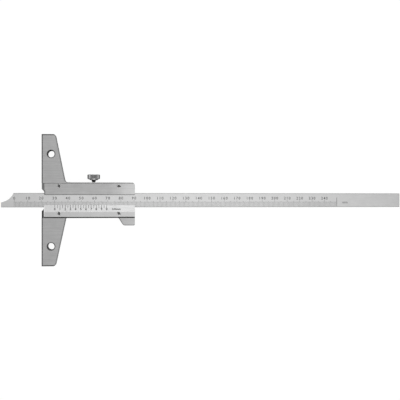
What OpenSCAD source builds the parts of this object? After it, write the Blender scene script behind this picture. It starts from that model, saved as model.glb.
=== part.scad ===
// Vernier depth gauge with a T-shaped base, lying on its back.
// X runs along the rule, away from the work; Y runs along the base; Z points out of the scale side.
// The origin lies where the rule's axis meets the plane of the measuring face, level with the back face.

/* [Base] */
// Length of the measuring face
base_len = 100; // [70:1:160]
// Thickness of the base and the arm
base_t = 8; // [7.6:0.1:12]
// Width of a wing at its outer end
wing_end_w = 10.6; // [9:0.1:14]
// Width of a wing where it meets the arm
wing_root_w = 18.5; // [16:0.1:30]
// Radius of a wing's outer corner
wing_corner_r = 2; // [0.8:0.1:4]
// Radius in the corner between the wing and the screw side of the arm
neck_r = 2.8; // [0.8:0.1:6]
// Radius in the corner between the wing and the thumb side of the arm
foot_r = 0.9; // [0.4:0.1:4]
// Diameter of the two holes for an extension bridge
bridge_hole_d = 5.2; // [3:0.1:5.5]
// Distance between the two bridge holes
bridge_hole_spacing = 70; // [50:1:84]
// Distance from the measuring face to the bridge holes
bridge_hole_set = 7; // [5:0.1:8]
// Chamfer on the mouth of a bridge hole
bridge_hole_chamfer = 0.4; // [0.1:0.05:0.8]
// Broken edge along the outline of the base and the arm
edge_break = 0.45; // [0.1:0.05:0.5]

/* [Relief at the measuring face] */
// Depth of the relief round the rule
relief_depth = 1.9; // [0.5:0.1:3]
// Gap between the rule and the relief's floor, on the screw side
relief_over = 1; // [0.5:0.1:2]
// Gap between the rule and the relief's floor, on the thumb side
relief_under = 0.8; // [0.5:0.1:2]
// How much each side of the relief widens towards the measuring face
relief_flare = 2.1; // [0.5:0.1:3]

/* [Arm] */
// Length of the arm, from the measuring face to its free end
arm_len = 70.2; // [64:0.1:120]
// Width of the arm, across the rule
arm_w = 27; // [26:0.5:34]
// Radius of the arm's free corner on the screw side
arm_corner_r = 2.3; // [0.8:0.1:4]
// Thickness of the wall behind the rule
back_wall_t = 3; // [2.5:0.1:4]
// How far the thumb rest stands out of the arm
rest_drop = 5.8; // [3:0.1:10]
// Length of the thumb rest where it leaves the arm
rest_root_len = 12.5; // [8:0.1:30]
// Length of the thumb rest at its outer edge
rest_edge_len = 8.7; // [6:0.1:24]
// Radius of the thumb rest's front corner
rest_nose_r = 2.5; // [0.8:0.1:4]
// Radius in the corner between the thumb rest and the arm
rest_root_r = 1.6; // [0.4:0.1:4]
// Radius of the thumb rest's rear corner
rest_heel_r = 0.8; // [0.7:0.1:2]

/* [Rule] */
// Length of the rule, tip included
rule_len = 311.5; // [280:0.5:400]
// Width of the rule
rule_w = 10.8; // [10:0.1:12]
// Thickness of the rule
rule_t = 3.5; // [3:0.1:3.8]
// Height of the flat end of the tip
tip_face_h = 3.9; // [2:0.1:7]
// Radius of the hollow that narrows the tip
tip_hollow_r = 11.2; // [10:0.1:16]
// How far in front of the tip the hollow's centre lies
tip_hollow_lead = 1.1; // [0:0.1:3]
// Broken edge along the rule
rule_break = 0.4; // [0.1:0.05:0.8]
// Broken edge at the rule's rear end
rule_end_break = 0.5; // [0.1:0.1:1.5]
// Depth that the gauge shows, the tip's reach out of the measuring face
reading = 30.2; // [0:0.1:200]

/* [Plates] */
// Distance from the measuring face to the guide plate
guide_set = 2; // [1.8:0.1:3]
// Distance from the measuring face to the vernier plate
vernier_set = 1.7; // [1.5:0.1:3]
// How far the vernier plate reaches over the rule
vernier_lap = 1.75; // [1:0.05:3]
// Width of the vernier plate's bevel
vernier_bevel_w = 5.3; // [3:0.1:6]
// Thickness of the vernier plate's thin edge
vernier_edge_t = 0.3; // [0.2:0.05:0.6]
// Gap between the vernier plate and the step of the base
vernier_gap = 0.65; // [0.3:0.05:1.2]
// Corner radius of the vernier plate
vernier_corner_r = 1.1; // [0.3:0.1:2]
// How far the guide plate reaches over the rule
guide_lap = 1.25; // [0.5:0.05:2]
// Chamfer along the guide plate's edge over the rule
guide_chamfer = 0.3; // [0.2:0.05:0.9]
// Width of the rim that the arm keeps outside the guide plate
guide_rim = 0.65; // [0.5:0.05:0.8]
// Gap between the guide plate and that rim
guide_gap = 0.05; // [0.05:0.01:0.3]
// Broken edge along both plates
plate_break = 0.2; // [0.05:0.05:0.4]

/* [Plate screws] */
// Diameter of a plate screw's head
screw_head_d = 3; // [2.4:0.1:3.4]
// Diameter of a plate screw's shank
screw_shank_d = 1.8; // [1.4:0.1:2]
// Length of a plate screw under its head
screw_shank_len = 3; // [2:0.1:3.2]
// Width of a plate screw's slot
screw_slot_w = 0.5; // [0.3:0.05:0.7]
// Depth of a plate screw's slot
screw_slot_depth = 0.4; // [0.2:0.05:0.5]
// Distance from the measuring face to the first pair of screws
first_screw_set = 13; // [8:0.1:16]
// Distance from the arm's free end to the second pair of screws
last_screw_set = 12.15; // [8:0.05:20]
// Distance from the arm's edge to the guide plate's screws
guide_screw_set = 2.8; // [2.7:0.1:3]
// Distance from the arm's edge to the vernier plate's screws
vernier_screw_set = 3.4; // [3:0.1:4]

/* [Gib and spring] */
// Length of the gib
gib_len = 62; // [52:0.5:100]
// Thickness of the gib
gib_t = 1; // [0.6:0.1:1.4]
// Thickness of the leaf spring
spring_t = 0.25; // [0.15:0.05:0.4]
// Length of the leaf spring
spring_len = 50; // [30:0.5:80]
// Height of the leaf spring's bow
spring_bow = 0.5; // [0.3:0.05:0.8]

/* [Lock screw] */
// Distance from the measuring face to the lock screw
lock_set = 38.9; // [25:0.1:44]
// Diameter of the knurled head
lock_head_d = 9.5; // [8:0.1:9.5]
// Height of the knurled head
lock_head_h = 3.6; // [2:0.1:8]
// Number of ridges of the knurl
lock_ridges = 48; // [24:1:60]
// Depth of the knurl
lock_knurl_depth = 0.32; // [0.1:0.02:0.5]
// Chamfer on the rims of the head
lock_rim = 0.3; // [0.2:0.05:0.9]
// Diameter of the collar under the head
lock_collar_d = 6.4; // [4:0.1:6.4]
// Height of that collar
lock_collar_h = 0.85; // [0.5:0.05:4]
// Diameter of the screw's thread
lock_thread_d = 2.5; // [2:0.1:2.8]
// Bare thread that shows between the collar and the arm
lock_neck_len = 1.65; // [0.5:0.05:3]
// Length of the shoe under the screw
shoe_len = 1.6; // [1:0.1:3]
// How far the shoe stands off the spring when the screw is loose
lock_gap = 0.12; // [0.11:0.01:0.3]

/* [Fits] */
// Gap on each side of the rule in its channel
slide_clear = 0.05; // [0.02:0.01:0.1]
// Radial gap between a screw and its hole
thread_clear = 0.05; // [0.02:0.01:0.1]
// Gap between two faces that bear on each other
seat_clear = 0.02; // [0.01:0.01:0.05]

/* [Hidden] */

// How far every cut runs past the face that it opens, and how far a small cone does
over = 1;
lip = 0.1;

base_half = base_len / 2;
arm_half = arm_w / 2;
rule_half = rule_w / 2;

// Levels along Z, from the back face up
rule_z = back_wall_t + slide_clear;
land_z = back_wall_t + rule_t + 2 * slide_clear;
axis_z = rule_z + rule_t / 2;

// The channel, and the pocket above the rule that holds the gib and its spring
channel_half = rule_half + slide_clear;
gib_y = rule_half + slide_clear;
spring_y = gib_y + gib_t + seat_clear;
pocket_y = spring_y + spring_bow + spring_t + seat_clear;
pocket_end_clear = 0.4;
pocket_mid = arm_len / 2;
gib_w = rule_t - 2 * seat_clear;

// The rule's tip, at the reading that the gauge shows
tip_x = -reading;
hollow_x = tip_x - tip_hollow_lead;
hollow_y = -rule_half + tip_face_h + sqrt(pow(tip_hollow_r, 2) - pow(tip_hollow_lead, 2));

// Plate screws
head_cone_h = (screw_head_d - screw_shank_d) / 2;
head_land = 0.15;
last_screw_x = arm_len - last_screw_set;
guide_screw_y = arm_half - guide_screw_set;
vernier_screw_y = vernier_screw_set - arm_half;
hole_bottom_gap = 0.4;
slot_angles = [38, 71, -24, 52];

// The lock screw stands along Y; these are heights over the rule's axis
shoe_y = spring_y + spring_t + lock_gap;
lock_tip_y = shoe_y + shoe_len + seat_clear;
lock_collar_y = arm_half + lock_neck_len;
lock_head_y = lock_collar_y + lock_collar_h;
lock_top_y = lock_head_y + lock_head_h;

// Facets of small and large round shapes
fine = 32;
smooth = 64;

function unit(v) = v / norm(v);

// A corner at p, with neighbours a and b, is rounded by an arc of radius r: the arc's
// centre, the point where it leaves the edge towards a, and the fan that holds the arc
function arc_centre(p, a, b, r) =
    p + unit(unit(a - p) + unit(b - p)) * r / sin(acos(unit(a - p) * unit(b - p)) / 2);
function arc_start(p, a, b, r) =
    p + unit(a - p) * r / tan(acos(unit(a - p) * unit(b - p)) / 2);

function fan(p, a, b, r) =
    let (centre = arc_centre(p, a, b, r))
        [p + unit(p - centre) * over, arc_start(p, a, b, r), centre, arc_start(p, b, a, r)];

// The area between such a corner and its arc
module corner(p, a, b, r) {
    difference() {
        polygon(fan(p, a, b, r));
        translate(arc_centre(p, a, b, r)) circle(r = r, $fn = smooth);
    }
}

// Both faces of the base get the same cut
module both_faces() {
    children();
    translate([0, 0, base_t]) mirror([0, 0, 1]) children();
}

// A wedge that breaks the straight edge from a to b, whose left side is the solid
module edge_cut(a, b) {
    run = b - a;
    translate([a[0], a[1], 0])
        rotate(atan2(run[1], run[0]))
            rotate([90, 0, 90])
                linear_extrude(norm(run))
                    polygon([[-over, -over], [edge_break + over, -over], [-over, edge_break + over]]);
}

// A cone that breaks the edge of a hollow corner's arc
module hollow_cut(p, a, b, r) {
    translate(concat(arc_centre(p, a, b, r), -lip))
        cylinder(r1 = r + edge_break + lip, r2 = r - lip, h = edge_break + 2 * lip, $fn = smooth);
}

// A ring that breaks the edge of a round corner's arc
module round_cut(p, a, b, r) {
    intersection() {
        translate(concat(arc_centre(p, a, b, r), 0))
            rotate_extrude($fn = smooth)
                polygon([
                    [r - edge_break - lip, -lip], [r + base_t, -lip], [r + base_t, edge_break + base_t]
                ]);
        translate([0, 0, -over]) linear_extrude(base_t) polygon(fan(p, a, b, r));
    }
}

// Corner points of the base, the arm and the thumb rest
wing_tips = [[0, base_half], [wing_end_w, base_half]];
neck = [wing_root_w, arm_half];
foot = [wing_root_w, -arm_half];
arm_end = [arm_len, arm_half];
rest_root = [arm_len - rest_root_len, -arm_half];
rest_nose = [arm_len - rest_edge_len, -arm_half - rest_drop];
rest_heel = [arm_len, -arm_half - rest_drop];
low_outer = [wing_end_w, -base_half];
low_inner = [0, -base_half];

// A hollow corner's stretch of the outline, before its circle is taken out
function hollow(p, a, b, r) =
    [arc_start(p, a, b, r), arc_centre(p, a, b, r), arc_start(p, b, a, r)];

module base_outline() {
    difference() {
        polygon(concat(
            [wing_tips[0], low_inner, low_outer],
            hollow(foot, low_outer, rest_root, foot_r),
            hollow(rest_root, foot, rest_nose, rest_root_r),
            [rest_nose, rest_heel, arm_end],
            hollow(neck, arm_end, wing_tips[1], neck_r),
            [wing_tips[1]]
        ));
        translate(arc_centre(foot, low_outer, rest_root, foot_r)) circle(r = foot_r, $fn = smooth);
        translate(arc_centre(rest_root, foot, rest_nose, rest_root_r)) circle(r = rest_root_r, $fn = smooth);
        translate(arc_centre(neck, arm_end, wing_tips[1], neck_r)) circle(r = neck_r, $fn = smooth);
        corner(wing_tips[1], wing_tips[0], neck, wing_corner_r);
        corner(low_outer, low_inner, foot, wing_corner_r);
        corner(arm_end, neck, rest_heel, arm_corner_r);
        corner(rest_nose, rest_root, rest_heel, rest_nose_r);
        corner(rest_heel, rest_nose, arm_end, rest_heel_r);
    }
}

// The notch in the measuring face that keeps burrs and dirt off the rule's way
module relief_outline() {
    top = rule_half + relief_over;
    bottom = -rule_half - relief_under;
    grow = over * relief_flare / relief_depth;
    polygon([
        [-over, top + relief_flare + grow], [relief_depth, top],
        [relief_depth, bottom], [-over, bottom - relief_flare - grow]
    ]);
}

module bridge_hole(y) {
    hole_r = bridge_hole_d / 2;
    rim_r = hole_r + bridge_hole_chamfer;
    translate([bridge_hole_set, y, 0]) {
        translate([0, 0, -over]) cylinder(r = hole_r, h = base_t + 2 * over, $fn = smooth);
        for (side = [0, 1])
            translate([0, 0, side * base_t])
                mirror([0, 0, side])
                    translate([0, 0, -over])
                        cylinder(r1 = rim_r + over, r2 = hole_r - over,
                                 h = rim_r - hole_r + 2 * over, $fn = smooth);
    }
}

// A screw hole in the land under a plate
module plate_thread(x, y) {
    translate([x, y, land_z - screw_shank_len - hole_bottom_gap])
        cylinder(d = screw_shank_d + 2 * thread_clear,
                 h = screw_shank_len + hole_bottom_gap + over, $fn = fine);
}

module base_frame() {
    color([0.66, 0.66, 0.66])
    difference() {
        linear_extrude(base_t) base_outline();
        translate([0, 0, -over]) linear_extrude(base_t + 2 * over) relief_outline();
        // Step that the two plates lie in
        translate([-over, -arm_half, land_z])
            cube([arm_len + 2 * over, arm_w - guide_rim, base_t]);
        // Channel of the rule
        translate([-over, -channel_half, back_wall_t])
            cube([arm_len + 2 * over, 2 * channel_half, base_t]);
        // Pocket of the gib and its spring, closed at both ends
        translate([pocket_mid - gib_len / 2 - pocket_end_clear, 0, back_wall_t])
            cube([gib_len + 2 * pocket_end_clear, pocket_y, base_t]);
        // Threaded hole of the lock screw
        translate([lock_set, spring_y, axis_z])
            rotate([-90, 0, 0])
                cylinder(r = lock_thread_d / 2 + thread_clear, h = arm_w, $fn = fine);
        for (x = [first_screw_set, last_screw_x]) {
            plate_thread(x, guide_screw_y);
            plate_thread(x, vernier_screw_y);
        }
        for (side = [-1, 1]) bridge_hole(side * bridge_hole_spacing / 2);
        // Broken edges of the measuring face, the wings and the thumb rest
        both_faces() {
            edge_cut(wing_tips[0], low_inner);
            edge_cut(wing_tips[1], wing_tips[0]);
            edge_cut(low_inner, low_outer);
            edge_cut(arc_start(neck, wing_tips[1], arm_end, neck_r), wing_tips[1]);
            edge_cut(low_outer, arc_start(foot, low_outer, rest_root, foot_r));
            edge_cut(arc_start(rest_root, rest_nose, foot, rest_root_r), rest_nose);
            edge_cut(rest_nose, rest_heel);
            round_cut(wing_tips[1], wing_tips[0], neck, wing_corner_r);
            round_cut(low_outer, low_inner, foot, wing_corner_r);
            round_cut(rest_nose, rest_root, rest_heel, rest_nose_r);
            round_cut(rest_heel, rest_nose, arm_end, rest_heel_r);
            hollow_cut(neck, arm_end, wing_tips[1], neck_r);
            hollow_cut(foot, rest_root, low_outer, foot_r);
            hollow_cut(rest_root, foot, rest_nose, rest_root_r);
        }
        // Broken edges of the arm, on its back
        edge_cut(arm_end, arc_start(neck, arm_end, wing_tips[1], neck_r));
        edge_cut(
            arc_start(foot, rest_root, low_outer, foot_r),
            arc_start(rest_root, foot, rest_nose, rest_root_r)
        );
        edge_cut(rest_heel, arm_end);
        round_cut(arm_end, neck, rest_heel, arm_corner_r);
    }
}

// Cross-section of a bar, w wide and t thick, with broken edges
module bar_section(w, t, size) {
    polygon([
        [size, 0], [w - size, 0], [w, size], [w, t - size],
        [w - size, t], [size, t], [0, t - size], [0, size]
    ]);
}

module beam() {
    color([0.78, 0.78, 0.78])
    difference() {
        translate([tip_x, -rule_half, rule_z])
            rotate([90, 0, 90]) linear_extrude(rule_len) bar_section(rule_w, rule_t, rule_break);
        // Hollow that narrows the tip
        translate([hollow_x, hollow_y, rule_z - over])
            cylinder(r = tip_hollow_r, h = rule_t + 2 * over, $fn = 2 * smooth);
        translate([tip_x - over, hollow_y - tip_hollow_r, rule_z - over])
            cube([over + tip_hollow_lead, rule_w, rule_t + 2 * over]);
        // Broken edges of the rear end
        for (side = [0, 1])
            translate([tip_x + rule_len, 0, rule_z + side * rule_t])
                mirror([0, 0, side])
                    rotate([90, 0, 0])
                        linear_extrude(rule_w + 2 * over, center = true)
                            polygon([[over, -over], [-rule_end_break - over, -over],
                                     [over, rule_end_break + over]]);
    }
}

// The countersunk hole of a plate screw
module countersink(x, y) {
    translate([x, y, 0]) {
        cylinder(d = screw_shank_d + 2 * thread_clear, h = base_t + over, $fn = fine);
        translate([0, 0, base_t - head_land - head_cone_h])
            cylinder(r1 = screw_shank_d / 2 + thread_clear, r2 = screw_head_d / 2 + thread_clear,
                     h = head_cone_h, $fn = fine);
        translate([0, 0, base_t - head_land])
            cylinder(d = screw_head_d + 2 * thread_clear, h = head_land + over, $fn = fine);
    }
}

module vernier_plate() {
    top_y = vernier_lap - rule_half;
    low_y = vernier_gap - arm_half;
    flat_y = top_y - vernier_bevel_w;
    upper = [vernier_set, top_y];
    lower = [vernier_set, low_y];
    color([0.86, 0.86, 0.86])
    difference() {
        translate([vernier_set, 0, 0])
            rotate([90, 0, 90])
                linear_extrude(arm_len - vernier_set)
                    polygon([
                        [top_y, land_z], [top_y, land_z + vernier_edge_t], [flat_y, base_t],
                        [low_y + plate_break, base_t], [low_y, base_t - plate_break], [low_y, land_z]
                    ]);
        translate([0, 0, land_z - over])
            linear_extrude(base_t) {
                corner(upper, lower, [arm_len, top_y], vernier_corner_r);
                corner(lower, upper, [arm_len, low_y], vernier_corner_r);
            }
        for (x = [first_screw_set, last_screw_x]) countersink(x, vernier_screw_y);
    }
}

module guide_plate() {
    low_y = rule_half - guide_lap;
    top_y = arm_half - guide_rim - guide_gap;
    color([0.7, 0.7, 0.7])
    difference() {
        translate([guide_set, 0, 0])
            rotate([90, 0, 90])
                linear_extrude(arm_len - guide_set)
                    polygon([
                        [low_y, land_z], [low_y, base_t - guide_chamfer], [low_y + guide_chamfer, base_t],
                        [top_y - plate_break, base_t], [top_y, base_t - plate_break], [top_y, land_z]
                    ]);
        translate([0, 0, land_z - over])
            linear_extrude(base_t)
                corner(arm_end, neck, rest_heel, arm_corner_r);
        for (x = [first_screw_set, last_screw_x]) countersink(x, guide_screw_y);
    }
}

// A countersunk slotted screw, flush with the plate that it holds
module plate_screw(x, y, angle) {
    color([0.42, 0.42, 0.42])
    translate([x, y, 0])
    difference() {
        union() {
            translate([0, 0, land_z - screw_shank_len])
                cylinder(d = screw_shank_d, h = base_t - land_z + screw_shank_len - head_land, $fn = fine);
            translate([0, 0, base_t - head_land - head_cone_h])
                cylinder(r1 = screw_shank_d / 2, r2 = screw_head_d / 2, h = head_cone_h, $fn = fine);
            translate([0, 0, base_t - head_land])
                cylinder(d = screw_head_d, h = head_land, $fn = fine);
        }
        rotate(angle)
            translate([-screw_head_d, -screw_slot_w / 2, base_t - screw_slot_depth])
                cube([2 * screw_head_d, screw_slot_w, base_t]);
    }
}

module guide_screw_left() { plate_screw(first_screw_set, guide_screw_y, slot_angles[0]); }
module guide_screw_right() { plate_screw(last_screw_x, guide_screw_y, slot_angles[1]); }
module vernier_screw_left() { plate_screw(first_screw_set, vernier_screw_y, slot_angles[2]); }
module vernier_screw_right() { plate_screw(last_screw_x, vernier_screw_y, slot_angles[3]); }

module gib() {
    color([0.78, 0.62, 0.32])
    translate([pocket_mid - gib_len / 2, gib_y, axis_z - gib_w / 2])
        cube([gib_len, gib_t, gib_w]);
}

// The bowed leaf: its middle presses on the gib, its ends bear on the pocket's wall
spring_steps = 16;
function spring_rise(share) = spring_y + spring_bow * pow(2 * share - 1, 2);
function spring_edge(lift) = [
    for (i = [0 : spring_steps])
        [pocket_mid + spring_len * (i / spring_steps - 1 / 2), spring_rise(i / spring_steps) + lift]
];
function backwards(points) = [for (i = [len(points) - 1 : -1 : 0]) points[i]];

module gib_spring() {
    color([0.72, 0.5, 0.28])
    translate([0, 0, axis_z - gib_w / 2])
        linear_extrude(gib_w)
            polygon(concat(spring_edge(0), backwards(spring_edge(spring_t))));
}

// Stands a turned piece on the lock screw's axis, at a height over the rule's axis
module on_lock_axis(y) {
    translate([lock_set, y, axis_z]) rotate([-90, 0, 0]) children();
}

module lock_shoe() {
    color([0.78, 0.62, 0.32])
    on_lock_axis(shoe_y) cylinder(d = lock_thread_d, h = shoe_len, $fn = fine);
}

// Star outline of the knurl, ridge by ridge
function knurl_ring() = [
    for (i = [0 : 2 * lock_ridges - 1])
        let (angle = 180 * i / lock_ridges, r = lock_head_d / 2 - (i % 2) * lock_knurl_depth)
            r * [cos(angle), sin(angle)]
];

module lock_screw() {
    core_r = lock_head_d / 2 - lock_knurl_depth - seat_clear;
    rim_r = core_r - lock_rim;
    collar_r = lock_collar_d / 2;
    collar_edge = lock_collar_h / 3;
    color([0.5, 0.5, 0.5])
    union() {
        // Thread, collar and chamfered core, turned in one
        on_lock_axis(lock_tip_y)
            rotate_extrude($fn = smooth)
                polygon([
                    [0, 0], [lock_thread_d / 2, 0],
                    [lock_thread_d / 2, lock_collar_y - lock_tip_y],
                    [collar_r - collar_edge, lock_collar_y - lock_tip_y],
                    [collar_r, lock_collar_y - lock_tip_y + collar_edge],
                    [collar_r, lock_head_y - lock_tip_y],
                    [rim_r, lock_head_y - lock_tip_y],
                    [core_r, lock_head_y - lock_tip_y + lock_rim],
                    [core_r, lock_top_y - lock_tip_y - lock_rim],
                    [rim_r, lock_top_y - lock_tip_y],
                    [0, lock_top_y - lock_tip_y]
                ]);
        on_lock_axis(lock_head_y + lock_rim)
            linear_extrude(lock_head_h - 2 * lock_rim) polygon(knurl_ring());
    }
}

base_frame();
beam();
vernier_plate();
guide_plate();
guide_screw_left();
guide_screw_right();
vernier_screw_left();
vernier_screw_right();
gib();
gib_spring();
lock_shoe();
lock_screw();
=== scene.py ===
"""Looks of a vernier depth gauge that lies on its back on a pale table.

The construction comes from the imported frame. X runs along the rule, away from the work,
Y along the base towards the lock screw, and Z out of the scale side. Lengths are in metres;
sizes written here are millimetres times MM.
"""
import math

import bmesh
import bpy
from mathutils import Matrix, Vector


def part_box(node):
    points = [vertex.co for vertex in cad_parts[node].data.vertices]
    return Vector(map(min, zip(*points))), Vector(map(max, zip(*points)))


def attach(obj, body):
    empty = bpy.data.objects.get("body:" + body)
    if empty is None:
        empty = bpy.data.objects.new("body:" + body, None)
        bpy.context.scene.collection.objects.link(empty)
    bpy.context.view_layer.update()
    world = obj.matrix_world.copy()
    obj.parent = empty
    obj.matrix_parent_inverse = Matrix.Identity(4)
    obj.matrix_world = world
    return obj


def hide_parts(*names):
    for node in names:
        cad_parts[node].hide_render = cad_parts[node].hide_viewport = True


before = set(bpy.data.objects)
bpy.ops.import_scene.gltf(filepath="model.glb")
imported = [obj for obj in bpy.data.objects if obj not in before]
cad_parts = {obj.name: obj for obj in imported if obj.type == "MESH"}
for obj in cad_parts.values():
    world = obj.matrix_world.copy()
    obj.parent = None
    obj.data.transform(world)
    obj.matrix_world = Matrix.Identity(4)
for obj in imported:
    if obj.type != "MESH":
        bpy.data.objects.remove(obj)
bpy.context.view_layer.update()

MM = 0.001

# Scales: places along X are counted from the rule's zero mark or the vernier's
RULE_ZERO = -20.45 * MM
RULE_LAST_MARK = 250
RULE_LAST_NUMBER = 240
VERNIER_ZERO = 9.75 * MM
VERNIER_MARKS = 21
VERNIER_PITCH = 39 / 20 * MM
MARK_WIDTH = 0.16 * MM
INK_RISE = 0.006 * MM
INK_THICKNESS = 0.012 * MM

# Bridge holes of the wings
HOLE_X = 7 * MM
HOLE_Y = 35 * MM


def place(matrix, mesh):
    """Moves a mesh and returns it."""
    mesh.transform(matrix)
    mesh.update()
    return mesh


def shown(name, mesh, *materials):
    """A mesh as an object of the scene, at the origin."""
    piece = bpy.data.objects.new(name, mesh)
    bpy.context.scene.collection.objects.link(piece)
    for material in materials:
        mesh.materials.append(material)
    return piece


def fitted(piece, body, slot, *nodes):
    """Makes a piece part of a body, in place of CAD nodes. slot is not used."""
    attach(piece, body)
    if nodes:
        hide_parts(*nodes)
    return piece


def add(tree, kind, inputs=None, **settings):
    """A node of a tree, with settings and with values or links for its inputs."""
    node = tree.nodes.new(kind)
    for setting, value in settings.items():
        setattr(node, setting, value)
    for key, value in (inputs or {}).items():
        if isinstance(value, bpy.types.NodeSocket):
            tree.links.new(value, node.inputs[key])
        else:
            node.inputs[key].default_value = value
    return node


# Materials


def new_tree(name):
    """An empty material and its node tree."""
    material = bpy.data.materials.new(name)
    material.use_nodes = True
    material.node_tree.nodes.clear()
    return material, material.node_tree


def reckoned(tree, operation, *values):
    """A socket that holds the result of one calculation with values or sockets."""
    return add(tree, "ShaderNodeMath", dict(enumerate(values)), operation=operation).outputs["Value"]


def times(tree, first, second):
    """A socket that holds the product of two values."""
    return reckoned(tree, "MULTIPLY", first, second)


def spread(tree, value, start, end, low, high):
    """A socket that goes from low to high as value goes from start to end."""
    ramp = add(tree, "ShaderNodeMapRange", {
        "Value": value, "From Min": start, "From Max": end, "To Min": low, "To Max": high,
    })
    return ramp.outputs["Result"]


def swung(tree, noise, middle, swing):
    """A socket that swings about a middle with a noise, most of which lies from 0.3 to 0.7."""
    return spread(tree, noise.outputs["Fac"], 0.3, 0.7, middle - swing, middle + swing)


def milled_share(tree, axes, facing, level):
    """How much painted shade shows, from 0 on ground faces to 1.

    The painted shade lies on broken edges that face the tip or the thumb rest, and on steps below
    the level of the ground faces. The ledge below the rule is darkest at both sides of its middle,
    where the steps of the lower side take the full painted shadow.
    """
    edge_share, step_share, ledge_middle = 0.815, 0.61, 1.45 * MM
    tilt = reckoned(tree, "ABSOLUTE", facing.outputs["Z"])
    broken = spread(tree, tilt, 0.97, 0.9, 0, 1)
    side = spread(tree, tilt, 0.35, 0.2, 1, 0.3)
    turned_away = reckoned(tree, "MAXIMUM", facing.outputs["X"], facing.outputs["Y"])
    edges = times(tree, times(tree, broken, side), spread(tree, turned_away, 0.1, 0.4, edge_share, 0))
    upward = spread(tree, facing.outputs["Z"], 0.9, 0.97, 0, 1)
    low = spread(tree, axes.outputs["Z"], level - 0.3 * MM, level - 0.5 * MM, 0, 1)
    # Painted shadow: steps on the lower side, away from the ledge's middle, take the full shade, and the
    # others take step_share of it.
    from_middle = reckoned(tree, "ABSOLUTE", reckoned(tree, "SUBTRACT", axes.outputs["X"], ledge_middle))
    lower_step_shadow = times(tree, spread(tree, from_middle, 0.35 * MM, 0.55 * MM, 0, 1),
                  spread(tree, axes.outputs["Y"], -MM, MM, 1, 0))
    steps = times(tree, times(tree, upward, low), spread(tree, lower_step_shadow, 0, 1, step_share, 1))
    return reckoned(tree, "MAXIMUM", edges, steps)


def wing_rim(tree, axes, facing):
    """1 on a wing's faces close to the measuring face, to the wing's end or to its hole, else 0: where a line
    of painted shade runs.
    """
    arm_half, wing_end = -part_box("vernier_plate")[0].y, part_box("base_frame")[1].y
    hole_reach = 2.4 * MM
    across = reckoned(tree, "ABSOLUTE", axes.outputs["Y"])
    flat = add(tree, "ShaderNodeCombineXYZ", {"X": axes.outputs["X"], "Y": across})
    to_hole = add(tree, "ShaderNodeVectorMath", {0: flat.outputs["Vector"], 1: (HOLE_X, HOLE_Y, 0)},
                  operation="DISTANCE")
    past_hole = reckoned(tree, "SUBTRACT", to_hole.outputs["Value"], hole_reach)
    to_end = reckoned(tree, "SUBTRACT", wing_end, across)
    nearest = reckoned(tree, "MINIMUM", past_hole, reckoned(tree, "MINIMUM", axes.outputs["X"], to_end))
    on_wing = spread(tree, across, arm_half, arm_half + 0.3 * MM, 0, 1)
    on_face = spread(tree, reckoned(tree, "ABSOLUTE", facing.outputs["Z"]), 0.4, 0.6, 0, 1)
    return times(tree, spread(tree, nearest, 0.55 * MM, 1.05 * MM, 1, 0), times(tree, on_wing, on_face))


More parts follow.
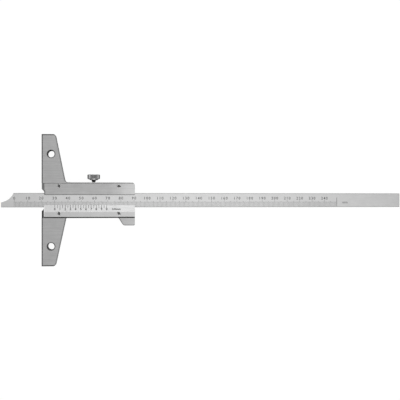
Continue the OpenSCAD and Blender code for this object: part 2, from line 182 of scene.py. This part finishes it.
def metal(name, grey, roughness, streaks, brushed=True, contrast=0.08, blotches=0.03,
          warmth=(1, 1, 1), ground_level=None, shade_tone=0.08, sheen_from=None, sheen=1.3,
          sheen_over=16 * MM, painted_highlight=None, wings=False, end_line=None):
    """Worked metal: fine streaks along X, over slow changes of tone.

    streaks is their number in a millimetre, and a metal that isn't brushed has grain without a
    direction. contrast and blotches are how far streaks and slow changes move the tone. With
    ground_level, broken edges that face the tip or the thumb rest and steps below that level
    take a painted shade, the tone milled at its darkest. With sheen_from, what lies past that
    place along X takes a painted sheen that grows brighter over the length sheen_over. polish
    names an attribute that is 1 on a painted highlight, and elsewhere the piece is darkened as a
    painted dark reflection. With wings, the edges of the wings' faces show as a darker line of
    painted shade. end_line is a place along X and one along Y: the piece's end there is a dark
    line of painted shade below the place along Y.
    """
    # Tones of the painted shade at the wings' rims and at a piece's end line, and of the painted dark
    # reflection on a screw head away from its highlight.
    rim_tone, line_tone, dark_reflection_tone = 0.25, 0.2, 0.1
    relief, relief_share = 0.004 * MM, 0.35
    material, tree = new_tree(name)
    across = 1000 * streaks
    along = across / 25 if brushed else across
    place_of = add(tree, "ShaderNodeTexCoord")
    axes = add(tree, "ShaderNodeSeparateXYZ", {"Vector": place_of.outputs["Object"]})
    facing = add(tree, "ShaderNodeSeparateXYZ", {"Vector": place_of.outputs["Normal"]})
    stretched = add(tree, "ShaderNodeMapping",
                    {"Vector": place_of.outputs["Object"], "Scale": (along, across, across)})
    grain = add(tree, "ShaderNodeTexNoise",
                {"Vector": stretched.outputs["Vector"], "Scale": 1.0, "Detail": 5.0, "Roughness": 0.65})
    cloud = add(tree, "ShaderNodeTexNoise",
                {"Vector": place_of.outputs["Object"], "Scale": 160.0, "Detail": 4.0, "Roughness": 0.6})
    tone = times(tree, swung(tree, grain, 1, contrast), swung(tree, cloud, 1, blotches))
    # Painted shade on broken edges and on steps below the ground faces.
    if ground_level:
        share = milled_share(tree, axes, facing, ground_level)
        tone = times(tree, tone, spread(tree, share, 0, 1, 1, shade_tone))
    # Painted shade: a darker line along the wings' edges and round their holes.
    if wings:
        tone = times(tree, tone, spread(tree, wing_rim(tree, axes, facing), 0, 1, 1, rim_tone))
    # Painted shade: a dark line at the piece's end, below the place along Y.
    if end_line:
        near_end = spread(tree, axes.outputs["X"], end_line[0] + 0.5 * MM, end_line[0] + 0.75 * MM, 1, 0)
        below = spread(tree, axes.outputs["Y"], end_line[1], end_line[1] + 0.3 * MM, 1, 0)
        tone = times(tree, tone, spread(tree, times(tree, near_end, below), 0, 1, 1, line_tone))
    # Painted highlight where the attribute is 1; elsewhere the tone drops to a painted dark reflection.
    if painted_highlight:
        ring_highlight = add(tree, "ShaderNodeAttribute", attribute_name=painted_highlight)
        tone = times(tree, tone, spread(tree, ring_highlight.outputs["Fac"], 0, 1, dark_reflection_tone, 1))
    # Painted sheen: past sheen_from along X the tone grows brighter over the length sheen_over.
    if sheen_from:
        end = sheen_from + sheen_over
        tone = times(tree, tone, spread(tree, axes.outputs["X"], sheen_from, end, 1, sheen))
    colour = tuple(grey * share for share in warmth)
    tinted = add(tree, "ShaderNodeVectorMath", {0: colour, "Scale": tone}, operation="SCALE")
    bump = add(tree, "ShaderNodeBump",
               {"Height": grain.outputs["Fac"], "Strength": relief_share, "Distance": relief})
    shader = add(tree, "ShaderNodeBsdfPrincipled", {
        "Base Color": tinted.outputs["Vector"], "Metallic": 1.0, "Normal": bump.outputs["Normal"],
        "Roughness": swung(tree, grain, roughness, 0.07),
    })
    add(tree, "ShaderNodeOutputMaterial", {"Surface": shader.outputs["BSDF"]})
    return material


def grooved_metal(name, grey, roughness, centre, axis, floor, ridge, dark):
    """Turned metal with a knurled ring, with painted shade at the grooves' floor and on its lower side.

    floor is the radius at the bottom of the grooves, ridge their depth, and dark the tone there.
    """
    lower_shade_tone = 0.22
    material, tree = new_tree(name)
    place_of = add(tree, "ShaderNodeTexCoord")
    from_axis = add(tree, "ShaderNodeVectorMath", {0: place_of.outputs["Object"], 1: centre},
                    operation="SUBTRACT")
    flat = add(tree, "ShaderNodeVectorMath",
               {0: from_axis.outputs["Vector"], 1: tuple(1 - abs(share) for share in axis)},
               operation="MULTIPLY")
    radius = add(tree, "ShaderNodeVectorMath", {0: flat.outputs["Vector"]}, operation="LENGTH")
    # Painted shade at the floor of the grooves.
    inside = spread(tree, radius.outputs["Value"], floor - 0.08 * MM, floor - 0.02 * MM, 1, dark)
    outside = spread(tree, radius.outputs["Value"], floor + 0.6 * ridge, floor + 0.95 * ridge, dark, 1)
    groove = reckoned(tree, "MAXIMUM", inside, outside)
    wear = add(tree, "ShaderNodeTexNoise",
               {"Vector": place_of.outputs["Object"], "Scale": 2500.0, "Detail": 3.0})
    height = add(tree, "ShaderNodeSeparateXYZ", {"Vector": from_axis.outputs["Vector"]}).outputs["Z"]
    # Painted shade: darker towards the head's lower side.
    lower_shaded = times(tree, groove, spread(tree, height, 0.45 * floor, 0.68 * floor, lower_shade_tone, 1))
    tone = times(tree, lower_shaded, swung(tree, wear, 1, 0.1))
    tinted = add(tree, "ShaderNodeVectorMath", {0: (grey, grey, grey), "Scale": tone}, operation="SCALE")
    shader = add(tree, "ShaderNodeBsdfPrincipled", {
        "Base Color": tinted.outputs["Vector"], "Metallic": 1.0,
        "Roughness": swung(tree, wear, roughness, 0.05),
    })
    add(tree, "ShaderNodeOutputMaterial", {"Surface": shader.outputs["BSDF"]})
    return material


def ink():
    """Black lacquer rubbed into the engraved marks, worn a little."""
    material, tree = new_tree("scale_ink")
    place_of = add(tree, "ShaderNodeTexCoord")
    wear = add(tree, "ShaderNodeTexNoise",
               {"Vector": place_of.outputs["Object"], "Scale": 900.0, "Detail": 2.0})
    tone = add(tree, "ShaderNodeValToRGB", {"Fac": wear.outputs["Fac"]})
    tone.color_ramp.elements[0].color = (0.012, 0.012, 0.013, 1)
    tone.color_ramp.elements[1].color = (0.05, 0.05, 0.052, 1)
    shader = add(tree, "ShaderNodeBsdfPrincipled", {"Base Color": tone.outputs["Color"], "Roughness": 0.55})
    add(tree, "ShaderNodeOutputMaterial", {"Surface": shader.outputs["BSDF"]})
    return material


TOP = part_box("base_frame")[1].z
LOCK_LOW, LOCK_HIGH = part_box("lock_screw")
LOCK_AXIS = (LOCK_LOW + LOCK_HIGH) / 2
ACROSS_Y = (0, 1, 0)
KNURL_RIDGE = 0.32 * MM
KNURL_FLOOR = (LOCK_HIGH.x - LOCK_LOW.x) / 2 - KNURL_RIDGE
# ground_level, wings and end_line paint shade into these finishes, sheen_from paints a sheen, and polish
# paints a highlight.
GROUND_STEEL = metal("ground_steel", 0.365, 0.36, streaks=1.3, contrast=0.12, blotches=0.05,
                     ground_level=TOP, sheen_from=50 * MM, sheen=1.2, wings=True)
GUIDE_STEEL = metal("guide_steel", 0.375, 0.36, streaks=1.3, contrast=0.12, blotches=0.05,
                    ground_level=TOP, sheen_from=50 * MM, sheen=1.35,
                    end_line=(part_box("guide_plate")[0].x, 7.2 * MM))
SATIN_CHROME = metal("satin_chrome", 0.537, 0.34, streaks=3.0, contrast=0.06,
                     ground_level=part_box("beam")[1].z, shade_tone=0.8)
# Painted highlight: the vernier plate is brighter at its left end.
PLATE_CHROME = metal("plate_chrome", 0.46, 0.32, streaks=3.0, contrast=0.05,
                     sheen_from=2.5 * MM, sheen=1.3, sheen_over=-0.5 * MM)
# Screw heads: a painted highlight on the ring round a painted dark reflection.
SCREW_STEEL = metal("screw_steel", 0.9, 0.25, streaks=4.0, brushed=False, painted_highlight="painted_highlight")
LOCK_STEEL = grooved_metal("lock_steel", 0.65, 0.28, LOCK_AXIS, ACROSS_Y, KNURL_FLOOR, KNURL_RIDGE, 0.45)
# Nearly black steel for the lock screw's thread and neck: painted shade under its collar.
SHADED_THREAD_STEEL = metal("shaded_thread_steel", 0.05, 0.3, streaks=4.0, brushed=False)
BRASS = metal("brass", 0.60, 0.3, streaks=3.0, warmth=(1, 0.7, 0.23))
SPRING_BRONZE = metal("spring_bronze", 0.48, 0.3, streaks=3.0, warmth=(1, 0.52, 0.2))
SCALE_INK = ink()

# Pieces that keep the construction's shape, with their edges rounded


def rounded_copy(node, name, radius, material, body, slot):
    """A CAD node's shape with every sharp edge rounded by a small radius."""
    weld = 0.001 * MM
    flat_angle = math.radians(0.5)
    sharp_angle = math.radians(28)
    shape = bmesh.new()
    shape.from_mesh(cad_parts[node].data)
    bmesh.ops.remove_doubles(shape, verts=shape.verts, dist=weld)
    bmesh.ops.dissolve_limit(shape, angle_limit=flat_angle, verts=shape.verts, edges=shape.edges)
    sharp = [e for e in shape.edges if len(e.link_faces) == 2 and e.calc_face_angle() > sharp_angle]
    bmesh.ops.bevel(shape, geom=sharp, offset=radius, segments=2, profile=0.5, affect="EDGES",
                    clamp_overlap=True, loop_slide=True)
    mesh = bpy.data.meshes.new(name)
    shape.to_mesh(mesh)
    shape.free()
    return fitted(shown(name, mesh, material), body, slot, node)


def slimmed(piece):
    """Moves the wings' slanted sides in and the arm's long sides out, by tenths of a millimetre."""
    arm_side, wing_end = 13.5 * MM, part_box("base_frame")[1].y
    wing_from = 12.8 * MM
    slant_start, slant_end = 8 * MM, 25 * MM
    arm_growth, on_arm_side = 0.12 * MM, 0.1 * MM
    upper_root, lower_root, end_shift = 0.92 * MM, 0.42 * MM, 0.42 * MM
    hole_reach = 3.3 * MM
    for vertex in piece.data.vertices:
        x, across = vertex.co.x, abs(vertex.co.y)
        root_shift = upper_root if vertex.co.y > 0 else lower_root
        on_hole = math.hypot(x - HOLE_X, across - HOLE_Y) < hole_reach
        if abs(across - arm_side) < on_arm_side and x > slant_start:
            vertex.co.y += math.copysign(arm_growth, vertex.co.y)
        if slant_start < x < slant_end and across > wing_from and not on_hole:
            share = min(1, max(0, (across - arm_side) / (wing_end - arm_side)))
            vertex.co.x -= root_shift + (end_shift - root_shift) * share


slimmed(rounded_copy("base_frame", "frame_body", 0.06 * MM, GROUND_STEEL, "frame", "ground_steel"))
rounded_copy("guide_plate", "upper_guide", 0.05 * MM, GUIDE_STEEL, "frame", "ground_steel")
rounded_copy("vernier_plate", "vernier", 0.04 * MM, PLATE_CHROME, "frame", "satin_chrome")
rounded_copy("beam", "rule", 0.06 * MM, SATIN_CHROME, "rule", "satin_chrome")

for node, material in {"gib": BRASS, "gib_spring": SPRING_BRONZE, "lock_shoe": BRASS}.items():
    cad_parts[node].data.materials.clear()
    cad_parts[node].data.materials.append(material)

# Geometry Nodes


def tree_with(name, **inputs):
    """An empty Geometry Nodes tree with named inputs, after the points that it may work on."""
    tree = bpy.data.node_groups.new(name, "GeometryNodeTree")
    tree.interface.new_socket("Points", in_out="INPUT", socket_type="NodeSocketGeometry")
    for label, kind in inputs.items():
        tree.interface.new_socket(label, in_out="INPUT", socket_type="NodeSocket" + kind)
    tree.interface.new_socket("Geometry", in_out="OUTPUT", socket_type="NodeSocketGeometry")
    return tree, tree.nodes.new("NodeGroupInput").outputs


def close_tree(tree, geometry, material):
    """Ends a tree: its instances become real and get the material."""
    real = add(tree, "GeometryNodeRealizeInstances", {"Geometry": geometry})
    dressed = add(tree, "GeometryNodeSetMaterial",
                  {"Geometry": real.outputs["Geometry"], "Material": material})
    add(tree, "NodeGroupOutput", {"Geometry": dressed.outputs["Geometry"]})


def grown(name, tree, on=None, **values):
    """Runs a tree once, on a mesh of points or on none, and returns a plain mesh."""
    seed = shown(name + "_seed", on or bpy.data.meshes.new(name + "_seed"))
    modifier = seed.modifiers.new("tree", "NODES")
    modifier.node_group = tree
    for socket in tree.interface.items_tree:
        if socket.in_out == "INPUT" and socket.name in values:
            modifier[socket.identifier] = values[socket.name]
    graph = bpy.context.evaluated_depsgraph_get()
    mesh = bpy.data.meshes.new_from_object(seed.evaluated_get(graph), depsgraph=graph)
    mesh.name = name
    seed.modifiers.remove(modifier)
    bpy.data.objects.remove(seed)
    return mesh


def marks_tree():
    """Marks of a scale along X: every fifth and every tenth may be longer than the others."""
    tree, given = tree_with("scale_marks", Count="Int", Pitch="Float", Width="Float", Thickness="Float",
                            Short="Float", Fifth="Float", Tenth="Float", Material="Material")
    step = add(tree, "ShaderNodeCombineXYZ", {"X": given["Pitch"]})
    row = add(tree, "GeometryNodeMeshLine", {"Count": given["Count"], "Offset": step.outputs["Vector"]})
    index = add(tree, "GeometryNodeInputIndex").outputs["Index"]
    length = given["Short"]
    for every, longer in ((5, given["Fifth"]), (10, given["Tenth"])):
        rest = add(tree, "FunctionNodeIntegerMath", {0: index, 1: every}, operation="MODULO")
        hit = add(tree, "FunctionNodeCompare", {2: rest.outputs["Value"], 3: 0},
                  data_type="INT", operation="EQUAL")
        length = add(tree, "GeometryNodeSwitch", {
            "Switch": hit.outputs["Result"], "False": length, "True": longer,
        }, input_type="FLOAT").outputs["Output"]
    size = add(tree, "ShaderNodeCombineXYZ", {"X": given["Width"], "Y": length, "Z": given["Thickness"]})
    bar = add(tree, "GeometryNodeMeshCube", {"Size": (1, 1, 1)})
    from_edge = add(tree, "GeometryNodeTransform",
                    {"Geometry": bar.outputs["Mesh"], "Translation": (0, 0.5, 0)})
    marks = add(tree, "GeometryNodeInstanceOnPoints", {
        "Points": row.outputs["Mesh"], "Instance": from_edge.outputs["Geometry"],
        "Scale": size.outputs["Vector"],
    })
    close_tree(tree, marks.outputs["Instances"], given["Material"])
    return tree


MARKS = marks_tree()


def letters(name, words, height, spacing=1.0, stroke=0.0):
    """Numbers as one flat mesh. Each word is its text and the middle of its place."""
    digit_share = 0.7
    joined = bmesh.new()
    for text, middle in words:
        curve = bpy.data.curves.new(name, "FONT")
        curve.body = text
        curve.size = height / digit_share
        curve.space_character = spacing
        curve.align_x = "CENTER"
        curve.align_y = "CENTER"
        curve.extrude = INK_THICKNESS / 2
        curve.offset = stroke
        curve.resolution_u = 3
        carrier = bpy.data.objects.new(name, curve)
        mesh = bpy.data.meshes.new_from_object(carrier)
        mesh.transform(Matrix.Translation(middle))
        joined.from_mesh(mesh)
        bpy.data.objects.remove(carrier)
        bpy.data.curves.remove(curve)
        bpy.data.meshes.remove(mesh)
    mesh = bpy.data.meshes.new(name)
    joined.to_mesh(mesh)
    joined.free()
    return mesh


def rule_scale():
    """The rule's millimetre marks, its line and its numbers."""
    low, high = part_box("beam")
    top = high.z + INK_RISE - INK_THICKNESS / 2
    marks_low = low.y + 0.42 * MM
    number_row, line_row, line_width = 1.45 * MM, -1.38 * MM, 0.09 * MM
    unit_place = Vector((RULE_ZERO + 256.7 * MM, -1.7 * MM, top))
    end_width, end_height = 0.3 * MM, 7.2 * MM
    marks = grown("rule_marks", MARKS, Count=RULE_LAST_MARK + 1, Pitch=MM, Width=MARK_WIDTH,
                  Thickness=INK_THICKNESS, Short=3.55 * MM, Fifth=4.3 * MM, Tenth=5.0 * MM,
                  Material=SCALE_INK)
    place(Matrix.Translation((RULE_ZERO, marks_low, top)), marks)
    fitted(shown("rule_marks", marks), "rule", "scale_ink")
    words = [
        (str(number), Vector((RULE_ZERO + number * MM, number_row, top)))
        for number in range(0, RULE_LAST_NUMBER + 1, 10)
    ]
    numbers = letters("rule_numbers", words, 2.1 * MM, spacing=1.3, stroke=0.02 * MM)
    fitted(shown("rule_numbers", numbers, SCALE_INK), "rule", "scale_ink")
    unit = letters("rule_unit", [("mm", unit_place)], 2.0 * MM)
    fitted(shown("rule_unit", unit, SCALE_INK), "rule", "scale_ink")
    last = RULE_LAST_MARK * MM
    line = box_mesh("rule_line", (last, line_width, INK_THICKNESS), (RULE_ZERO + last / 2, line_row, top))
    fitted(shown("rule_line", line, SCALE_INK), "rule", "scale_ink")
    end_mark = box_mesh("rule_end_mark", (end_width, end_height, INK_THICKNESS),
                        (RULE_ZERO + last, marks_low + end_height / 2, top))
    fitted(shown("rule_end_mark", end_mark, SCALE_INK), "rule", "scale_ink")


def vernier_scale():
    """Twenty divisions on the vernier's bevel, numbered by tenths of a millimetre."""
    low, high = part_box("vernier_plate")
    edge_z, bevel_width = low.z + 0.3 * MM, 5.3 * MM
    mark_length, digit_row, unit_x = 2.4 * MM, -3.25 * MM, 46.4 * MM
    slope = math.atan2(high.z - edge_z, bevel_width)
    bevel = Matrix.Translation((VERNIER_ZERO, high.y, edge_z)) @ Matrix.Rotation(slope, 4, "X").inverted()
    in_bevel = bevel @ Matrix.Translation((0, 0, INK_RISE - INK_THICKNESS / 2))
    down = Matrix.Scale(-1, 4, (0, 1, 0))
    marks = grown("vernier_marks", MARKS, Count=VERNIER_MARKS, Pitch=VERNIER_PITCH,
                  Width=1.7 * MARK_WIDTH, Thickness=INK_THICKNESS, Short=mark_length,
                  Fifth=mark_length, Tenth=mark_length, Material=SCALE_INK)
    marks.transform(down)
    marks.flip_normals()
    place(in_bevel, marks)
    fitted(shown("vernier_marks", marks), "frame", "scale_ink")
    tenths = "01234567890"
    words = [
        (digit, Vector((2 * place_in_row * VERNIER_PITCH, digit_row, 0)))
        for place_in_row, digit in enumerate(tenths)
    ]
    numbers = place(in_bevel, letters("vernier_numbers", words, 1.75 * MM, stroke=0.06 * MM))
    fitted(shown("vernier_numbers", numbers, SCALE_INK), "frame", "scale_ink")
    reading = [("0.05mm", Vector((unit_x, digit_row, 0)))]
    unit = place(in_bevel, letters("vernier_unit", reading, 1.4 * MM, stroke=0.06 * MM))
    fitted(shown("vernier_unit", unit, SCALE_INK), "frame", "scale_ink")


# Screws


def turned(name, profile, steps=48):
    """A closed mesh turned about Z from a profile of (radius, height) points on the axis at both ends."""
    shape = bmesh.new()
    points = [shape.verts.new((radius, 0, height)) for radius, height in profile]
    edges = [shape.edges.new(pair) for pair in zip(points, points[1:])]
    bmesh.ops.spin(shape, geom=points + edges, cent=(0, 0, 0), axis=(0, 0, 1), angle=math.tau,
                   steps=steps, use_merge=True)
    bmesh.ops.remove_doubles(shape, verts=shape.verts, dist=0.0005 * MM)
    bmesh.ops.recalc_face_normals(shape, faces=shape.faces)
    mesh = bpy.data.meshes.new(name)
    shape.to_mesh(mesh)
    shape.free()
    return mesh


def box_mesh(name, size, centre):
    """A closed box."""
    shape = bmesh.new()
    bmesh.ops.create_cube(shape, size=1)
    mesh = bpy.data.meshes.new(name)
    shape.to_mesh(mesh)
    shape.free()
    return place(Matrix.Translation(centre) @ Matrix.Diagonal((*size, 1)), mesh)


def screw_shape():
    """A countersunk screw with a slot, its head's top at the origin."""
    head_r, shank_r, dark_r = 1.5 * MM, 0.9 * MM, 1.18 * MM
    rim, length = 0.12 * MM, 4.2 * MM
    slot_size = (4 * MM, 0.6 * MM, 1.5 * MM)
    head_depth = 0.5 * MM
    profile = [
        (0, -length), (shank_r, -length), (shank_r, -(head_r - shank_r) - rim),
        (head_r - 0.03 * MM, -rim), (head_r, -0.8 * rim), (head_r - 0.02 * MM, -0.3 * rim),
        (head_r - 0.08 * MM, -0.08 * rim), (head_r - 0.2 * MM, 0), (dark_r, 0), (0, 0),
    ]
    body = shown("screw_pattern", turned("screw_pattern", profile), SCREW_STEEL)
    slot = shown("slot_pattern", box_mesh("slot_pattern", slot_size, (0, 0, 0)), SCREW_STEEL)
    cut = body.modifiers.new("slot", "BOOLEAN")
    cut.operation = "DIFFERENCE"
    cut.object = slot
    graph = bpy.context.evaluated_depsgraph_get()
    mesh = bpy.data.meshes.new_from_object(body.evaluated_get(graph), depsgraph=graph)
    body.modifiers.remove(cut)
    bpy.data.objects.remove(slot)
    # Painted highlight on the ring round the head's dark core, which is a painted dark reflection.
    painted_highlight = mesh.attributes.new("painted_highlight", "FLOAT", "POINT")
    ring = [math.hypot(v.co.x, v.co.y) > 1.05 * dark_r and v.co.z > -head_depth for v in mesh.vertices]
    painted_highlight.data.foreach_set("value", [float(bright) for bright in ring])
    body.data = mesh
    return body


def plate_screws():
    """The four plate screws, each turned to where its slot stopped."""
    seats = {
        "guide_screw_left": 110, "guide_screw_right": -5,
        "vernier_screw_left": -60, "vernier_screw_right": -35,
    }
    tree, given = tree_with("screws_on_points", Pattern="Object", Material="Material")
    points = bpy.data.meshes.new("screw_places")
    corners = [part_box(node) for node in seats]
    middles = [((low.x + high.x) / 2, (low.y + high.y) / 2, high.z) for low, high in corners]
    points.from_pydata(middles, [], [])
    turn = points.attributes.new("turn", "FLOAT", "POINT")
    turn.data.foreach_set("value", [math.radians(angle) for angle in seats.values()])
    source = add(tree, "GeometryNodeObjectInfo", {"Object": given["Pattern"]})
    angle = add(tree, "GeometryNodeInputNamedAttribute", {"Name": "turn"}, data_type="FLOAT")
    upright = add(tree, "ShaderNodeCombineXYZ", {"Z": angle.outputs["Attribute"]})
    screws = add(tree, "GeometryNodeInstanceOnPoints", {
        "Points": given["Points"], "Instance": source.outputs["Geometry"],
        "Rotation": upright.outputs["Vector"],
    })
    close_tree(tree, screws.outputs["Instances"], given["Material"])
    pattern = screw_shape()
    mesh = grown("plate_screws", tree, on=points, Pattern=pattern, Material=SCREW_STEEL)
    bpy.data.objects.remove(pattern)
    fitted(shown("plate_screws", mesh), "frame", "screw_steel", *seats)


# Heights of the lock screw along its axis, and how it lies
HEAD_LOW = LOCK_HIGH.y - 3.6 * MM
COLLAR_LOW = HEAD_LOW - 0.85 * MM
NECK_LOW = COLLAR_LOW - 1.0 * MM
HEAD_RIM = 0.3 * MM
HEAD_LOW_RIM = 1.5 * HEAD_RIM
THREAD_R = 1.25 * MM
LOCK_STAND = Matrix.Translation((LOCK_AXIS.x, 0, LOCK_AXIS.z)) @ Matrix.Rotation(-math.pi / 2, 4, "X")


def lock_body():
    """The lock screw's turned head with a hollow top, its tapered collar, its neck and its shank."""
    top, low, rim, low_rim = LOCK_HIGH.y, LOCK_LOW.y, HEAD_RIM, HEAD_LOW_RIM
    core_r, collar_r, neck_r, shank_r = KNURL_FLOOR, 3.2 * MM, 1.5 * MM, THREAD_R - 0.2 * MM
    hollow = 0.3 * MM
    profile = [
        (0, low), (shank_r, low), (shank_r, NECK_LOW),
        (neck_r - 0.15 * MM, NECK_LOW), (neck_r, NECK_LOW + 0.1 * MM), (neck_r, COLLAR_LOW - 0.1 * MM),
        (neck_r + 0.15 * MM, COLLAR_LOW), (collar_r - 0.2 * MM, COLLAR_LOW + 0.35 * MM),
        (collar_r, COLLAR_LOW + 0.5 * MM), (collar_r, HEAD_LOW),
        (core_r - low_rim, HEAD_LOW), (core_r - 0.15 * low_rim, HEAD_LOW + 0.85 * low_rim),
        (core_r, HEAD_LOW + low_rim),
        (core_r, top - rim), (core_r - 0.6 * rim, top - 0.1 * rim), (core_r - rim, top),
        (core_r - 1.8 * rim, top), (core_r - 2.1 * rim, top - hollow), (0, top - hollow),
    ]
    core = place(LOCK_STAND, turned("lock_core", profile, steps=64))
    body = shown("lock_screw_body", core, LOCK_STEEL, SHADED_THREAD_STEEL)
    fitted(body, "lock", "lock_steel", "lock_screw")
    # Faces below the collar take the nearly black steel, as painted shade under the head.
    for face in core.polygons:
        face.material_index = int(face.center.y < COLLAR_LOW)


def lock_knurl():
    """The ridges round the lock screw's head."""
    ridge_count = 48
    height = LOCK_HIGH.y - HEAD_LOW - HEAD_RIM - HEAD_LOW_RIM
    middle = (LOCK_HIGH.y - HEAD_RIM + HEAD_LOW + HEAD_LOW_RIM) / 2
    tree, given = tree_with("ridges_round", Count="Int", Radius="Float", Width="Float", Depth="Float",
                            Height="Float", Material="Material")
    ring = add(tree, "GeometryNodeMeshCircle", {"Vertices": given["Count"], "Radius": given["Radius"]})
    index = add(tree, "GeometryNodeInputIndex").outputs["Index"]
    angle = times(tree, index, reckoned(tree, "DIVIDE", math.tau, given["Count"]))
    turn = add(tree, "ShaderNodeCombineXYZ", {"Z": angle})
    size = add(tree, "ShaderNodeCombineXYZ", {"X": given["Depth"], "Y": given["Width"], "Z": given["Height"]})
    wedge = add(tree, "GeometryNodeMeshCylinder", {"Vertices": 4, "Radius": 1.0, "Depth": 1.0})
    ridges = add(tree, "GeometryNodeInstanceOnPoints", {
        "Points": ring.outputs["Mesh"], "Instance": wedge.outputs["Mesh"],
        "Rotation": turn.outputs["Vector"], "Scale": size.outputs["Vector"],
    })
    close_tree(tree, ridges.outputs["Instances"], given["Material"])
    knurl = grown("lock_knurl", tree, Count=ridge_count, Radius=KNURL_FLOOR, Depth=KNURL_RIDGE,
                  Width=math.pi * KNURL_FLOOR / ridge_count, Height=height, Material=LOCK_STEEL)
    place(LOCK_STAND @ Matrix.Translation((0, 0, middle)), knurl)
    fitted(shown("lock_screw_knurl", knurl), "lock", "lock_steel")


def lock_thread():
    """The thread on the lock screw's shank, as a helix of three sides."""
    pitch, helix_r, bare_turns = 0.45 * MM, THREAD_R - 0.22 * MM, 1.2
    tree, given = tree_with("thread", Turns="Float", Radius="Float", Pitch="Float", Material="Material")
    helix = add(tree, "GeometryNodeCurveSpiral", {
        "Resolution": 24, "Rotations": given["Turns"], "Start Radius": given["Radius"],
        "End Radius": given["Radius"], "Height": times(tree, given["Turns"], given["Pitch"]),
    })
    section = add(tree, "GeometryNodeCurvePrimitiveCircle",
                  {"Resolution": 3, "Radius": times(tree, given["Pitch"], 0.5)})
    tube = add(tree, "GeometryNodeCurveToMesh", {
        "Curve": helix.outputs["Curve"], "Profile Curve": section.outputs["Curve"], "Fill Caps": True,
    })
    close_tree(tree, tube.outputs["Mesh"], given["Material"])
    thread = grown("lock_thread", tree, Turns=(NECK_LOW - LOCK_LOW.y) / pitch - bare_turns,
                   Radius=helix_r, Pitch=pitch, Material=SHADED_THREAD_STEEL)
    place(LOCK_STAND @ Matrix.Translation((0, 0, LOCK_LOW.y + 0.5 * pitch)), thread)
    fitted(shown("lock_screw_thread", thread), "lock", "lock_steel")


plate_screws()
lock_body()
lock_knurl()
lock_thread()
rule_scale()
vernier_scale()

# Table, light and camera


def stage():
    """A pale table that shows nearly white and keeps the gauge's shadow.

    It lies a hair below the gauge's back, so that the two never share a plane.
    """
    half, height = 2.5, -0.02 * MM
    camera_white, camera_share = 1.06, 0.9
    mesh = bpy.data.meshes.new("table")
    corners = [(-half, -half, height), (half, -half, height), (half, half, height), (-half, half, height)]
    mesh.from_pydata(corners, [], [(0, 1, 2, 3)])
    material, tree = new_tree("table")
    path = add(tree, "ShaderNodeLightPath")
    # Seen in reflections the paper is darker than it is: a painted dark reflection that shades the metal's
    # sides.
    mirrored = spread(tree, path.outputs["Is Glossy Ray"], 0, 1, 0.9, 0.45)
    paper = add(tree, "ShaderNodeBsdfDiffuse", {"Color": mirrored})
    glow = add(tree, "ShaderNodeEmission", {"Color": (1, 1, 1, 1), "Strength": camera_white})
    share = times(tree, path.outputs["Is Camera Ray"], camera_share)
    mixed = add(tree, "ShaderNodeMixShader",
                {0: share, 1: paper.outputs["BSDF"], 2: glow.outputs["Emission"]})
    add(tree, "ShaderNodeOutputMaterial", {"Surface": mixed.outputs["Shader"]})
    shown("table", mesh, material)


def room():
    """A bright ceiling with a strip of light across the rule, dark walls and a white backdrop below."""
    camera_white = 1.3
    world = bpy.data.worlds.new("room")
    bpy.context.scene.world = world
    world.use_nodes = True
    tree = world.node_tree
    tree.nodes.clear()
    direction = add(tree, "ShaderNodeTexCoord")
    axes = add(tree, "ShaderNodeSeparateXYZ", {"Vector": direction.outputs["Generated"]})
    ceiling = spread(tree, axes.outputs["Z"], 0.5, 0.88, 0.35, 1.12)
    backdrop = spread(tree, axes.outputs["Z"], 0.3, 0.45, 0.9, 0.0)
    strip = times(tree, spread(tree, axes.outputs["X"], -0.21, 0.08, 0.66, 1.83),
                  spread(tree, axes.outputs["X"], 0.14, 0.40, 1.0, 0.46))
    lock_side = spread(tree, axes.outputs["Y"], -0.5, 0.5, 1.15, 0.9)
    overhead = times(tree, times(tree, ceiling, strip), lock_side)
    level = reckoned(tree, "ADD", overhead, backdrop)
    path = add(tree, "ShaderNodeLightPath")
    to_camera = times(tree, path.outputs["Is Camera Ray"], camera_white)
    shown_level = reckoned(tree, "MAXIMUM", level, to_camera)
    background = add(tree, "ShaderNodeBackground", {"Strength": shown_level})
    add(tree, "ShaderNodeOutputWorld", {"Surface": background.outputs["Background"]})


def softbox(name, centre, aim, size, power):
    """A square lamp that faces a point."""
    lamp = bpy.data.lights.new(name, "AREA")
    lamp.size = size
    lamp.energy = power
    holder = bpy.data.objects.new(name, lamp)
    bpy.context.scene.collection.objects.link(holder)
    holder.location = centre
    holder.rotation_euler = (Vector(aim) - Vector(centre)).to_track_quat("-Z", "Y").to_euler()


def camera():
    """The photograph's view: from above, with the tip's end of the rule a little nearer."""
    lean = math.radians(6.5)
    picture_px = 400
    sensor = 36
    middle_mark = 141 * MM
    shrink_per_m = 0.19725
    px_per_m = 1281.3
    aim = Vector((RULE_ZERO + middle_mark, 0.14 * MM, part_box("beam")[1].z))
    distance = math.sin(lean) / shrink_per_m
    data = bpy.data.cameras.new("camera")
    data.sensor_width = sensor
    data.lens = px_per_m * distance / math.cos(lean) * sensor / picture_px
    data.clip_start = 0.01
    holder = bpy.data.objects.new("camera", data)
    bpy.context.scene.collection.objects.link(holder)
    holder.location = aim + distance * Vector((-math.sin(lean), 0, math.cos(lean)))
    holder.rotation_euler = (0, -lean, 0)
    bpy.context.scene.camera = holder


stage()
room()
softbox("key", centre=(0.05, 0.45, 0.80), aim=(0.05, 0, 0), size=0.4, power=0.55)
camera()
bpy.context.scene.view_settings.view_transform = "Standard"
